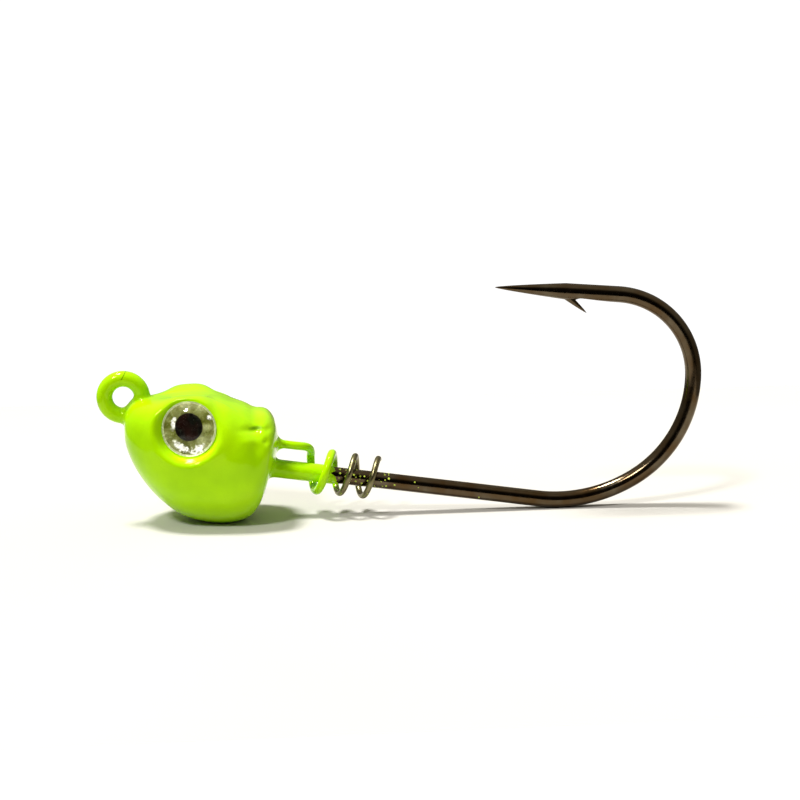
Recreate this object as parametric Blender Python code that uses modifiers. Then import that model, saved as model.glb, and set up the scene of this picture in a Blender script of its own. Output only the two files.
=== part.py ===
"""Swimbait jig head: a lead fish head cast on a long bent hook, with a screw-lock bait keeper.

The nose points along -X, the hook's bend is at the +X end, and +Z is up. The head's flat belly and
the lowest part of the hook's bend lie on z = 0, and the object is centred on x = 0 and y = 0.
Inside this script lengths are in millimetres from the front of the line eye, and MM turns them into
metres. The empty "jig_head" carries every part and centres the object.
"""

import math

import bmesh
import bpy
from mathutils import Matrix, Vector

MM = 0.001

# Hook wire: straight shank, round bend, straight point leg
WIRE_R = 0.92
SHANK_SLOPE = math.radians(8.5)
BOTTOM_X = 51.85  # lowest point of the bend, from the front of the line eye
LOW_BEND_R = 17.0
LOW_BEND_END = math.radians(30)
MID_BEND_R = 13.6
TOP_BEND_R = 9.45
LEG_DIRECTION = math.radians(175.5)
LEG_LENGTH = 14.0
POINT_TAPER = 7.9
POINT_R = 0.04
HOOK_SPLIT_X = 12.0  # the eye leg and the shank meet here, inside the casting
TAPER_POWER = 0.8
WIRE_SIDES_RES = 4  # a curve bevel of 12 sides
SHANK_STEPS = 5
BEND_STEPS = (7, 11, 15)
LEG_STEPS = 3
TAPER_STEPS = 8

# Barb, raised from the inside of the point leg
BARB_FROM_TIP = 8.45
BARB_LENGTH = 2.75
BARB_ANGLE = math.radians(36)
BARB_ROOT_R = 0.45
BARB_ROOT_OFFSET = 0.35  # from the wire's centreline
BARB_SHAPE = ((0.0, 1.0), (0.35, 0.85), (0.7, 0.5), (1.0, 0.1))  # (way along, share of radius)
SCOOP_DEPTH = 0.45
SCOOP_LENGTH = 5.0
SCOOP_SETBACK = 0.85
SCOOP_TILT = math.radians(4)
SCOOP_SIDES = 48
SCOOP_WIDTH = 4.0
SCOOP_OFFSET = 0.97  # of its middle line from the wire's centreline

# Line eye, a closed ring turned from the hook's wire
RING_X = 2.88
RING_Z = 14.15
RING_MAJOR_R = 2.04
RING_WIRE_R = 0.74
NECK_ANGLE = math.radians(-60)
NECK_BEND_R = 2.4
NECK_STEPS = 6
NECK_TAPER = (0.79, 0.9)  # the neck's first two points, as shares of the wire's radius
RING_SIDES = 36
RING_WIRE_SIDES = 12
SEAT_GAP = 0.02  # between two parts that touch
CASTING_GAP = 0.05  # between the casting and its coat

# Powder coat
COAT = 0.12
RING_COAT_R = 0.84
SHANK_COAT_END_X = 26.1
SHANK_FILLET = 0.45  # how far the coat swells where the shank leaves the head
FILLET_START = 1.25
FILLET_LENGTH = 1.2
FILLET_STEPS = 4
SLEEVE_SIDES = 24
SLEEVE_END_DROP = 0.05  # the coat thins at its end, over SLEEVE_END
SLEEVE_END = 0.25
LEG_COAT_SETBACK = 0.4  # the leg's coat starts this far behind REAR_X
BORE_OVERRUN = 0.5  # of a path step, past the end of the keeper's coat
REAR_X = 17.9  # inside the head, where the sleeves of coat are trimmed to its rear face

# Bait keeper: an anchor leg in the casting, a straight leg, and a left-handed coil round the shank
KEEPER_R = 0.34
KEEPER_COAT_IN_R = 0.37
KEEPER_COAT_R = 0.44
COIL_R = 2.18
COIL_LIFT = 0.22
COIL_PITCH = 2.6
COIL_START_X = 23.4
COIL_TURNS = 3.06
COAT_TURNS = 1.25
KEEPER_LEG_RISE = 0.45  # how far the leg's rear end stands above the coil's own radius
CORNER_R = 2.3
CORNER_STEPS = 5
CORNER_DROP = 0.25  # how much of the leg's rise is gone at the end of the corner
SETTLE_TURNS = 0.35  # the rest is gone this far round the coil
ANCHOR_X = 13.2
ANCHOR_POINTS = ((2.0, 0.5), (0.5, 0.5), (0.15, 0.35))  # (up, forward) from the leg's front end
STEPS_PER_TURN = 20

# Fish eyes
EYE_X = 10.20
EYE_Z = 11.40
EYE_Y = 5.0  # floor of the eye seat at its centre
EYE_R = 3.02
EYE_TILT = math.radians(9)  # the eyes look a little upwards
EYE_TOE_IN = math.radians(12)  # and a little forwards
SEAT_R = 3.10
SEAT_FLARE_R = 4.15
SEAT_FLARE = 0.62
SEAT_EDGE = 0.15
SEAT_LEDGE = 0.12  # from the seat's wall to the start of its flare
SEAT_CUT_HEIGHT = 4.0
SEAT_CUT_WIDEN = 2.0
ADHESIVE = 0.10
FOIL = 0.12
PUPIL = 0.05
PUPIL_R = 1.5
DOME_HEIGHT = 1.20
DOME_EDGE = 0.28
DOME_STEPS = 7
POCKET_ROOM = 0.03  # round the pupil, in the dome's underside
ADHESIVE_INSET = 0.15
FOIL_INSET = 0.05
THIN_GAP = 0.01
EYE_SIDES = 32

# Head sections from nose to rear: the top point (x, z), the bottom point (x, z), the half width, and
# how square the section is above and below its middle (2 is an ellipse)
SECTIONS = (
    ((2.92, 11.65), (2.92, 11.65), 0.0, 2.2, 2.2),
    ((3.15, 12.75), (2.88, 10.15), 1.60, 2.2, 2.2),
    ((3.95, 13.62), (3.05, 8.55), 2.90, 2.4, 2.2),
    ((5.50, 14.02), (3.92, 6.30), 4.15, 3.0, 2.2),
    ((7.40, 14.12), (5.35, 4.05), 5.30, 3.8, 2.2),
    ((9.40, 14.22), (7.15, 2.10), 6.05, 4.2, 2.2),
    ((11.40, 14.28), (9.35, 0.60), 6.45, 3.8, 2.2),
    ((13.40, 14.05), (12.20, -0.22), 6.55, 3.0, 2.2),
    ((15.40, 13.35), (14.50, -0.28), 6.60, 2.6, 2.2),
    ((17.20, 12.75), (16.35, 0.25), 6.35, 2.4, 2.2),
    ((18.70, 12.25), (17.40, 1.40), 5.95, 2.4, 2.3),
    ((19.45, 11.35), (18.05, 2.80), 5.30, 2.4, 2.4),
    ((19.78, 10.20), (18.65, 4.60), 4.00, 2.4, 2.4),
    ((19.88, 9.10), (19.30, 6.40), 2.10, 2.2, 2.2),
    ((19.88, 7.80), (19.88, 7.80), 0.0, 2.2, 2.2),
)
RINGS_PER_SECTION = 2
HEAD_SIDES = 32
BROW_CENTRE = (10.15, 4.1, 14.0)
BROW_SPREAD = (2.05, 1.5, 1.2)
BROW_HEIGHT = 0.75
GROOVE_X = 17.35
GROOVE_WIDTH = 0.55
GROOVE_DEPTH = 0.22
GROOVE_LOW_Z = 5.0  # the groove starts here and is at full depth GROOVE_FADE higher
GROOVE_FADE = 4.0
DIMPLE_CENTRE = (17.25, 5.05, 10.95)
DIMPLE_SIZE = (1.1, 0.8, 0.42)
DIMPLE_TURN = (math.radians(6), math.radians(8))
DIMPLE_SIDES = (16, 8)


def bend_reach():
    """Distance from the bend's lowest point to its outermost centreline point."""
    low = LOW_BEND_R * math.sin(LOW_BEND_END)
    return low + MID_BEND_R * (1 - math.sin(LOW_BEND_END))


LENGTH = BOTTOM_X + bend_reach() + WIRE_R


# ---------------------------------------------------------------- scene and materials


def clear_scene():
    for obj in list(bpy.data.objects):
        bpy.data.objects.remove(obj, do_unlink=True)


def new_collection(name):
    collection = bpy.data.collections.new(name)
    bpy.context.scene.collection.children.link(collection)
    return collection


def material(name, colour, roughness, metallic, alpha=1.0):
    mat = bpy.data.materials.new(name)
    mat.use_nodes = True
    shader = mat.node_tree.nodes["Principled BSDF"]
    shader.inputs["Base Color"].default_value = (*colour, 1.0)
    shader.inputs["Roughness"].default_value = roughness
    shader.inputs["Metallic"].default_value = metallic
    shader.inputs["Alpha"].default_value = alpha
    mat.diffuse_color = (*colour, alpha)
    return mat


clear_scene()
PARTS = new_collection("jig_head")
CUTTERS = new_collection("cutters")
CUTTERS.hide_render = True

ROOT = bpy.data.objects.new("jig_head", None)
ROOT.location = (-LENGTH / 2 * MM, 0, 0)
PARTS.objects.link(ROOT)


def add_object(name, data, mat=None):
    """Link a new object under the root, as a part if it has a material and as a cutter if not."""
    obj = bpy.data.objects.new(name, data)
    (PARTS if mat else CUTTERS).objects.link(obj)
    obj.parent = ROOT
    if mat:
        if not data.materials:
            data.materials.append(mat)
    else:
        obj.hide_render = True
        obj.display_type = "WIRE"
    return obj


def shade_round(obj, angle=40):
    for face in obj.data.polygons:
        face.use_smooth = True
    obj.data.set_sharp_from_angle(angle=math.radians(angle))


def boolean(obj, cutter, operation="DIFFERENCE"):
    modifier = obj.modifiers.new(f"{operation.lower()}_{cutter.name}", "BOOLEAN")
    modifier.operation = operation
    modifier.solver = "EXACT"
    modifier.object = cutter


def applied(obj):
    """Replace a modified object's mesh by its evaluated mesh."""
    bpy.context.view_layer.update()
    graph = bpy.context.evaluated_depsgraph_get()
    mesh = bpy.data.meshes.new_from_object(obj.evaluated_get(graph))
    obj.modifiers.clear()
    obj.data = mesh
    return obj


# ---------------------------------------------------------------- tubes


def tube(name, points, radius, mat=None, scales=None, resolution=2, cyclic=False):
    """A round tube through points, as a closed mesh."""
    curve = bpy.data.curves.new(f"{name}_path", "CURVE")
    curve.dimensions = "3D"
    curve.bevel_depth = radius * MM
    curve.bevel_resolution = resolution
    curve.use_fill_caps = not cyclic
    curve.twist_mode = "MINIMUM"
    spline = curve.splines.new("POLY")
    spline.points.add(len(points) - 1)
    for point, place in zip(spline.points, points):
        point.co = (*(Vector(place) * MM), 1)
    for point, scale in zip(spline.points, scales or []):
        point.radius = scale
    spline.use_cyclic_u = cyclic
    guide = bpy.data.objects.new(f"{name}_guide", curve)
    CUTTERS.objects.link(guide)
    bpy.context.view_layer.update()
    graph = bpy.context.evaluated_depsgraph_get()
    mesh = bpy.data.meshes.new_from_object(guide.evaluated_get(graph))
    bpy.data.objects.remove(guide, do_unlink=True)
    bm = bmesh.new()
    bm.from_mesh(mesh)
    bmesh.ops.remove_doubles(bm, verts=bm.verts, dist=1e-6)
    bmesh.ops.recalc_face_normals(bm, faces=bm.faces)
    bm.to_mesh(mesh)
    bm.free()
    mesh.name = name
    mesh.materials.clear()
    obj = add_object(name, mesh, mat)
    shade_round(obj)
    return obj


def shank_z(x):
    """Height of the straight shank's centreline."""
    start_x = BOTTOM_X - LOW_BEND_R * math.sin(SHANK_SLOPE)
    start_z = WIRE_R + LOW_BEND_R * (1 - math.cos(SHANK_SLOPE))
    return start_z + (start_x - x) * math.tan(SHANK_SLOPE)


def arc_points(x, z, radius, start, end, steps):
    """Points after (x, z) along an arc that turns upwards from direction start to direction end."""
    centre_x = x - radius * math.sin(start)
    centre_z = z + radius * math.cos(start)
    angles = [start + (end - start) * i / steps for i in range(1, steps + 1)]
    return [
        (centre_x + radius * math.sin(a), 0, centre_z - radius * math.cos(a)) for a in angles
    ]


def hook_path():
    """Centreline from the split in the casting to the point, and how thick the wire is along it."""
    start_x = BOTTOM_X - LOW_BEND_R * math.sin(SHANK_SLOPE)
    points = []
    for i in range(SHANK_STEPS + 1):
        x = HOOK_SPLIT_X + (start_x - HOOK_SPLIT_X) * i / SHANK_STEPS
        points.append((x, 0, shank_z(x)))
    low_steps, mid_steps, top_steps = BEND_STEPS
    bends = (
        (LOW_BEND_R, -SHANK_SLOPE, LOW_BEND_END, low_steps),
        (MID_BEND_R, LOW_BEND_END, math.pi / 2, mid_steps),
        (TOP_BEND_R, math.pi / 2, LEG_DIRECTION, top_steps),
    )
    for radius, start, end, steps in bends:
        points += arc_points(points[-1][0], points[-1][2], radius, start, end, steps)
    scales = [1.0] * len(points)
    leg_x, _, leg_z = points[-1]
    straight = LEG_LENGTH - POINT_TAPER
    ways = [straight * i / LEG_STEPS for i in range(1, LEG_STEPS + 1)]
    ways += [straight + POINT_TAPER * i / TAPER_STEPS for i in range(1, TAPER_STEPS + 1)]
    for way in ways:
        points.append(
            (leg_x + way * math.cos(LEG_DIRECTION), 0, leg_z + way * math.sin(LEG_DIRECTION))
        )
        left = min(1.0, (LEG_LENGTH - way) / POINT_TAPER)
        scales.append(POINT_R / WIRE_R + (1 - POINT_R / WIRE_R) * left**TAPER_POWER)
    return points, scales


def neck_path():
    """Centreline from the line eye down into the casting and round to the split."""
    down = Vector((math.cos(NECK_ANGLE), 0, math.sin(NECK_ANGLE)))
    start = Vector((RING_X, 0, RING_Z)) + down * RING_MAJOR_R
    # where the neck's line meets the shank's line
    slope = math.tan(SHANK_SLOPE)
    reach = (start.z - shank_z(0) + slope * start.x) / (-down.z - slope * down.x)
    corner = start + down * reach
    turn = -SHANK_SLOPE - NECK_ANGLE
    back = NECK_BEND_R * math.tan(turn / 2)
    bend = corner - down * back
    points = [tuple(start), tuple(start + (bend - start) / 2), tuple(bend)]
    points += arc_points(bend.x, bend.z, NECK_BEND_R, NECK_ANGLE, -SHANK_SLOPE, NECK_STEPS)
    end_x = HOOK_SPLIT_X - THIN_GAP
    points.append((end_x, 0, shank_z(end_x)))
    return points


def torus(name, tube_radius, mat=None):
    """A ring in the X-Z plane at the line eye."""
    bpy.ops.mesh.primitive_torus_add(
        major_segments=RING_SIDES,
        minor_segments=RING_WIRE_SIDES,
        major_radius=RING_MAJOR_R * MM,
        minor_radius=tube_radius * MM,
    )
    made = bpy.context.object
    mesh = made.data
    bpy.data.objects.remove(made, do_unlink=True)
    mesh.transform(Matrix.Rotation(math.pi / 2, 4, "X"))
    mesh.name = name
    obj = add_object(name, mesh, mat)
    obj.location = (RING_X * MM, 0, RING_Z * MM)
    shade_round(obj)
    return obj


# ---------------------------------------------------------------- keeper


def keeper_path(until_turns=COIL_TURNS, from_x=ANCHOR_X):
    """Centreline of the keeper: anchor, leg, rounded corner, then the coil round the shank."""
    along = Vector((math.cos(SHANK_SLOPE), 0, -math.sin(SHANK_SLOPE)))
    up = Vector((math.sin(SHANK_SLOPE), 0, math.cos(SHANK_SLOPE)))
    side = Vector((0, 1, 0))

    def on_coil(x, angle, radius):
        axis = Vector((x, 0, shank_z(x))) + up * COIL_LIFT
        return axis + (up * math.cos(angle) + side * math.sin(angle)) * radius

    start_r = COIL_R + KEEPER_LEG_RISE
    leg_end = on_coil(COIL_START_X - CORNER_R, 0, start_r)
    # the anchor turns up where it ends in the casting
    if from_x == ANCHOR_X:
        foot = leg_end - along * ((leg_end.x - ANCHOR_X) / along.x)
        points = [foot + up * rise - along * forward for rise, forward in ANCHOR_POINTS]
        points += [foot + (leg_end - foot) * share for share in (0, 1 / 3, 2 / 3, 1)]
    else:
        points = [leg_end - along * (leg_end.x - from_x), leg_end]
    corner_angle = CORNER_R / COIL_R
    for i in range(1, CORNER_STEPS + 1):
        a = math.pi / 2 * i / CORNER_STEPS
        angle = corner_angle * (1 - math.cos(a))
        fade = 1 - CORNER_DROP * i / CORNER_STEPS
        x = COIL_START_X - CORNER_R + CORNER_R * math.sin(a)
        points.append(on_coil(x, angle, COIL_R + KEEPER_LEG_RISE * fade))
    count = int(STEPS_PER_TURN * until_turns)
    first = corner_angle / (2 * math.pi)
    for i in range(1, count + 1):
        turns = first + (until_turns - first) * i / count
        fade = (1 - CORNER_DROP) * max(0.0, 1 - turns / SETTLE_TURNS)
        x = COIL_START_X + COIL_PITCH * (turns - first)
        points.append(on_coil(x, 2 * math.pi * turns, COIL_R + KEEPER_LEG_RISE * fade))
    return [tuple(p) for p in points]


# ---------------------------------------------------------------- head


def blended(rows, place):
    """The row of numbers at a fractional place in rows, on a smooth curve through them."""
    i = min(int(place), len(rows) - 2)
    t = place - i
    around = [rows[min(max(k, 0), len(rows) - 1)] for k in (i - 1, i, i + 1, i + 2)]
    result = []
    for a, b, c, d in zip(*around):
        value = 2 * b + (c - a) * t + (2 * a - 5 * b + 4 * c - d) * t**2
        value += (3 * b - a - 3 * c + d) * t**3
        result.append(value / 2)
    return result


def bell(distance, spread):
    return math.exp(-0.5 * (distance / spread) ** 2)


def head_point(row, angle):
    """A point on the plain head, where angle 0 is the +Y side and a quarter turn is the top."""
    top_x, top_z, bottom_x, bottom_z, half_width, square_up, square_down = row
    square = square_up if math.sin(angle) > 0 else square_down
    across = math.copysign(abs(math.cos(angle)) ** (2 / square), math.cos(angle))
    height = math.copysign(abs(math.sin(angle)) ** (2 / square), math.sin(angle))
    middle = Vector(((top_x + bottom_x) / 2, 0, (top_z + bottom_z) / 2))
    rise = Vector(((top_x - bottom_x) / 2, 0, (top_z - bottom_z) / 2))
    return middle + rise * height + Vector((0, half_width * across, 0))


def head_relief(point):
    """How far the surface stands out at a point of the plain head: brow ridges and rear groove."""
    along, across, upwards = (
        (value - centre) / spread
        for value, centre, spread in zip(
            (point.x, abs(point.y), point.z), BROW_CENTRE, BROW_SPREAD
        )
    )
    # the brow is flat-topped along the head and round across it
    brow = BROW_HEIGHT * math.exp(-0.5 * (along**4 + across**2 + upwards**2))
    high = min(1.0, max(0.0, (point.z - GROOVE_LOW_Z) / GROOVE_FADE))
    groove = GROOVE_DEPTH * bell(point.x - GROOVE_X, GROOVE_WIDTH) * high
    return brow - groove


def head(name, inset, mat=None):
    """The head's outer surface moved inwards by inset, closed, with its belly cut flat."""
    rows = [(*top, *bottom, *rest) for top, bottom, *rest in SECTIONS]
    count = (len(rows) - 1) * RINGS_PER_SECTION
    bm = bmesh.new()
    rings = []
    for i in range(1, count):
        row = blended(rows, i / RINGS_PER_SECTION)
        ring = []
        for k in range(HEAD_SIDES):
            ring.append(bm.verts.new(head_point(row, 2 * math.pi * k / HEAD_SIDES)))
        rings.append(ring)
    for first, second in zip(rings, rings[1:]):
        for k in range(HEAD_SIDES):
            n = (k + 1) % HEAD_SIDES
            bm.faces.new((first[k], first[n], second[n], second[k]))
    for ring, row in ((rings[0], rows[0]), (rings[-1], rows[-1])):
        pole = bm.verts.new((row[0], 0, row[1]))
        for k in range(HEAD_SIDES):
            bm.faces.new((ring[k], pole, ring[(k + 1) % HEAD_SIDES]))
    bmesh.ops.recalc_face_normals(bm, faces=bm.faces)
    bm.normal_update()
    moves = [(v, v.normal * head_relief(v.co)) for v in bm.verts]
    for vert, move in moves:
        vert.co += move
    bm.normal_update()
    moves = [(v, v.normal * -inset) for v in bm.verts]
    for vert, move in moves:
        vert.co += move
        vert.co.z = max(vert.co.z, inset)
    bmesh.ops.scale(bm, vec=(MM, MM, MM), verts=bm.verts)
    mesh = bpy.data.meshes.new(name)
    bm.to_mesh(mesh)
    bm.free()
    obj = add_object(name, mesh, mat)
    shade_round(obj, 60)
    return obj


# ---------------------------------------------------------------- eyes and other turned pieces


def turned(name, profile, sides, mat=None):
    """A body turned round its local Z, from a profile of (radius, height) in millimetres."""
    mesh = bpy.data.meshes.new(name)
    verts = [(r * MM, 0, z * MM) for r, z in profile]
    mesh.from_pydata(verts, [(i, i + 1) for i in range(len(verts) - 1)], [])
    obj = add_object(name, mesh, mat)
    screw = obj.modifiers.new("turn", "SCREW")
    screw.axis = "Z"
    screw.steps = sides
    screw.render_steps = sides
    screw.use_merge_vertices = True
    screw.merge_threshold = 1e-6
    screw.use_normal_calculate = True
    applied(obj)
    bm = bmesh.new()
    bm.from_mesh(obj.data)
    bmesh.ops.remove_doubles(bm, verts=bm.verts, dist=1e-6)
    bmesh.ops.recalc_face_normals(bm, faces=bm.faces)
    if bm.calc_volume(signed=True) < 0:
        bmesh.ops.reverse_faces(bm, faces=bm.faces)
    bm.to_mesh(obj.data)
    bm.free()
    shade_round(obj, 30)
    return obj


def disc_profile(radius, low, high):
    return [(0, high), (radius, high), (radius, low), (0, low)]


def seat_matrix(side):
    """Placement of an eye: local Z looks out of the head, side is -1 for the left and 1 for the right."""
    outwards = Vector((-math.sin(EYE_TOE_IN), side * math.cos(EYE_TOE_IN), 0))
    outwards = (outwards * math.cos(EYE_TILT) + Vector((0, 0, math.sin(EYE_TILT)))).normalized()
    turn = outwards.to_track_quat("Z", "Y").to_matrix().to_4x4()
    return Matrix.Translation(Vector((EYE_X, side * EYE_Y, EYE_Z)) * MM) @ turn


def place_pair(name, make):
    """Build a piece for the left eye and a copy of it for the right eye."""
    left = make(f"left_{name}")
    left.matrix_local = seat_matrix(-1)
    right = add_object(f"right_{name}", left.data, left.data.materials[0])
    right.matrix_local = seat_matrix(1)
    return left, right


def dome_profile():
    """A clear cap with a shallow pocket underneath for the pupil, from its top to its underside."""
    base = ADHESIVE + FOIL + 3 * THIN_GAP
    edge = base + DOME_EDGE
    rise = DOME_HEIGHT - DOME_EDGE
    ball_r = (EYE_R**2 + rise**2) / (2 * rise)
    half = math.asin(EYE_R / ball_r)
    points = []
    for i in range(DOME_STEPS + 1):
        a = half * i / DOME_STEPS
        points.append((ball_r * math.sin(a), edge + rise - ball_r * (1 - math.cos(a))))
    pocket = base + PUPIL + THIN_GAP
    return points + [
        (EYE_R, base),
        (PUPIL_R + POCKET_ROOM, base),
        (PUPIL_R + POCKET_ROOM, pocket),
        (0, pocket),
    ]


# ---------------------------------------------------------------- build

BLACK_NICKEL = material("black_nickel", (0.035, 0.030, 0.026), 0.22, 1.0)
LEAD = material("lead", (0.30, 0.31, 0.33), 0.55, 1.0)
KEEPER_STEEL = material("keeper_steel", (0.30, 0.28, 0.20), 0.30, 1.0)
CHARTREUSE = material("chartreuse_coat", (0.42, 0.80, 0.01), 0.25, 0.0)
GLUE = material("eye_glue", (0.75, 0.72, 0.62), 0.5, 0.0)
FOIL_SILVER = material("eye_foil", (0.72, 0.73, 0.66), 0.25, 1.0)
PUPIL_BLACK = material("pupil_black", (0.01, 0.01, 0.01), 0.3, 0.0)
CLEAR = material("clear_resin", (0.95, 0.96, 0.94), 0.05, 0.0, 0.3)

hook_points, hook_scales = hook_path()
eye_leg_points = neck_path()
keeper_points = keeper_path()

# Hook: wire, barb raised on the inside of the point leg, and the scoop that the barb was cut from
hook = tube("hook", hook_points, WIRE_R, BLACK_NICKEL, hook_scales, WIRE_SIDES_RES)
tip = Vector(hook_points[-1])
leg = Vector((math.cos(LEG_DIRECTION), 0, math.sin(LEG_DIRECTION)))
inwards = Vector((-leg.z, 0, leg.x))  # from the point leg towards the shank
barb_root = tip - leg * BARB_FROM_TIP + inwards * BARB_ROOT_OFFSET
barb_way = -leg * math.cos(BARB_ANGLE) + inwards * math.sin(BARB_ANGLE)
barb_points = [tuple(barb_root + barb_way * BARB_LENGTH * way) for way, _ in BARB_SHAPE]
barb = tube("barb_shape", barb_points, BARB_ROOT_R, None, [share for _, share in BARB_SHAPE])
scoop_mid = tip - leg * (BARB_FROM_TIP + SCOOP_SETBACK + SCOOP_LENGTH / 2)
bpy.ops.mesh.primitive_cylinder_add(vertices=SCOOP_SIDES, radius=MM, depth=SCOOP_WIDTH * MM)
scoop = bpy.context.object
scoop_mesh = scoop.data
bpy.data.objects.remove(scoop, do_unlink=True)
# a slim lens across the wire, tilted so that it is deepest beside the barb's root
scoop_mesh.transform(Matrix.Rotation(math.pi / 2, 4, "X"))
scoop_mesh.transform(Matrix.Diagonal((SCOOP_LENGTH / 2, 1, SCOOP_DEPTH, 1)))
scoop = add_object("scoop_shape", scoop_mesh)
scoop.location = (scoop_mid + inwards * SCOOP_OFFSET) * MM
scoop.rotation_euler = (0, -(LEG_DIRECTION - math.pi) + SCOOP_TILT, 0)
boolean(hook, scoop)
boolean(hook, barb, "UNION")
shade_round(applied(hook), 35)

# Line eye with its neck and the bend that the casting holds
hook_eye = torus("hook_eye", RING_WIRE_R, BLACK_NICKEL)
neck_scales = [*NECK_TAPER] + [1.0] * (len(eye_leg_points) - 2)
neck = tube("neck_shape", eye_leg_points, WIRE_R, None, neck_scales, WIRE_SIDES_RES)
boolean(hook_eye, neck, "UNION")
shade_round(applied(hook_eye), 35)

keeper_wire = tube("keeper_wire", keeper_points, KEEPER_R, KEEPER_STEEL)

# Room in the casting and its coat for the wires
wire_room = tube(
    "wire_room", eye_leg_points[:-1] + hook_points, WIRE_R + SEAT_GAP, None,
    neck_scales[:-1] + hook_scales, WIRE_SIDES_RES,
)
ring_room = torus("ring_room", RING_WIRE_R + SEAT_GAP)
keeper_room = tube("keeper_room", keeper_points, KEEPER_R + SEAT_GAP)


def seat_cutter(side, grow):
    """What an eye seat takes out of the head, grown by grow on every side."""
    low = -grow
    name = f"seat_{'left' if side < 0 else 'right'}_{round(grow * 100)}"
    profile = [
        (0, SEAT_CUT_HEIGHT),
        (SEAT_FLARE_R + SEAT_CUT_WIDEN + grow, SEAT_CUT_HEIGHT),
        (SEAT_FLARE_R + grow, SEAT_FLARE),
        (SEAT_R + SEAT_LEDGE + grow, SEAT_EDGE),
        (SEAT_R + grow, low),
        (0, low),
    ]
    cutter = turned(name, profile, EYE_SIDES)
    cutter.matrix_local = seat_matrix(side)
    return cutter


def dimple_cutter(side, grow):
    """A slim pit on the rear of the cheek, where the gill cover ends."""
    segments, rings = DIMPLE_SIDES
    bpy.ops.mesh.primitive_uv_sphere_add(segments=segments, ring_count=rings, radius=MM)
    made = bpy.context.object
    mesh = made.data
    bpy.data.objects.remove(made, do_unlink=True)
    size = [s + grow for s in DIMPLE_SIZE]
    mesh.transform(Matrix.Diagonal((*size, 1)))
    cutter = add_object(f"dimple_{'left' if side < 0 else 'right'}_{round(grow * 100)}", mesh)
    x, y, z = DIMPLE_CENTRE
    cutter.location = Vector((x, side * y, z)) * MM
    pitch, yaw = DIMPLE_TURN
    cutter.rotation_euler = (0, pitch, -side * yaw)
    return cutter


def shaped_head(name, inset, mat=None):
    """The head at this inset with its eye seats and cheek dimples taken out."""
    obj = head(name, inset, mat)
    for side in (-1, 1):
        boolean(obj, seat_cutter(side, inset))
        boolean(obj, dimple_cutter(side, inset))
    return applied(obj)


head_casting = shaped_head("head_casting", COAT + CASTING_GAP, LEAD)
for room in (wire_room, ring_room, keeper_room):
    boolean(head_casting, room)
shade_round(applied(head_casting), 40)

head_coat = shaped_head("head_coat", 0.0, CHARTREUSE)
coat_inside = shaped_head("coat_inside", COAT)
boolean(head_coat, coat_inside)
for room in (wire_room, ring_room, keeper_room):
    boolean(head_coat, room)
shade_round(applied(head_coat), 40)

head_room = head("head_room", -SEAT_GAP)

# Coat on the line eye, outside the head
eye_ring_coat = torus("eye_ring_coat", RING_COAT_R, CHARTREUSE)
boolean(eye_ring_coat, ring_room)
boolean(eye_ring_coat, head_room)
shade_round(applied(eye_ring_coat), 40)

# Coat on the shank, swelling into a small fillet against the head
coat_in = WIRE_R + SEAT_GAP
coat_out = coat_in + COAT
sleeve_length = (SHANK_COAT_END_X - REAR_X) / math.cos(SHANK_SLOPE)
profile = [(coat_in, sleeve_length), (coat_out - SLEEVE_END_DROP, sleeve_length)]
fillet_end = FILLET_START + FILLET_LENGTH
profile += [(coat_out, sleeve_length - SLEEVE_END), (coat_out, fillet_end)]
for i in range(1, FILLET_STEPS + 1):
    a = math.pi / 2 * i / FILLET_STEPS
    swell = SHANK_FILLET * (1 - math.cos(a))
    profile.append((coat_out + swell, fillet_end - FILLET_LENGTH * math.sin(a)))
profile += [(coat_out + SHANK_FILLET, 0), (coat_in, 0), (coat_in, sleeve_length)]
shank_coat = turned("shank_coat", profile, SLEEVE_SIDES, CHARTREUSE)
shank_coat.location = (REAR_X * MM, 0, shank_z(REAR_X) * MM)
shank_coat.rotation_euler = (0, math.pi / 2 + SHANK_SLOPE, 0)
boolean(shank_coat, head_room)
shade_round(applied(shank_coat), 40)

# Coat on the keeper's leg and on the first turn of its coil
coated_points = keeper_path(COAT_TURNS, REAR_X + LEG_COAT_SETBACK)
keeper_coat = tube("keeper_coat", coated_points, KEEPER_COAT_R, CHARTREUSE)
keeper_bore_points = keeper_path(COAT_TURNS, REAR_X)
last = Vector(keeper_bore_points[-1]) - Vector(keeper_bore_points[-2])
keeper_bore_points.append(tuple(Vector(keeper_bore_points[-1]) + last * BORE_OVERRUN))
keeper_bore = tube("keeper_bore", keeper_bore_points, KEEPER_COAT_IN_R)
boolean(keeper_coat, keeper_bore)
boolean(keeper_coat, head_room)
shade_round(applied(keeper_coat), 40)

# Eyes, from the glue on the seat's floor outwards
low = THIN_GAP
place_pair(
    "eye_adhesive",
    lambda name: turned(
        name, disc_profile(EYE_R - ADHESIVE_INSET, low, low + ADHESIVE), EYE_SIDES, GLUE
    ),
)
low = ADHESIVE + 2 * THIN_GAP
place_pair(
    "eye_foil",
    lambda name: turned(
        name, disc_profile(EYE_R - FOIL_INSET, low, low + FOIL), EYE_SIDES, FOIL_SILVER
    ),
)
low = ADHESIVE + FOIL + 3 * THIN_GAP
place_pair(
    "eye_pupil",
    lambda name: turned(name, disc_profile(PUPIL_R, low, low + PUPIL), EYE_SIDES, PUPIL_BLACK),
)
place_pair("eye_dome", lambda name: turned(name, dome_profile(), EYE_SIDES, CLEAR))

# The cutters have done their work
for obj in list(CUTTERS.objects):
    bpy.data.objects.remove(obj, do_unlink=True)
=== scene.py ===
"""Looks of the jig head: one painted skin over the head, line eye, shank and keeper, the bare hook and
keeper, and the two lens eyes, on a pale floor in soft studio light.

Shapes are worked out in millimetres from the front of the line eye and the floor, with the object's
middle plane at y = 0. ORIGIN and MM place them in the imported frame.
"""

import math

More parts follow.
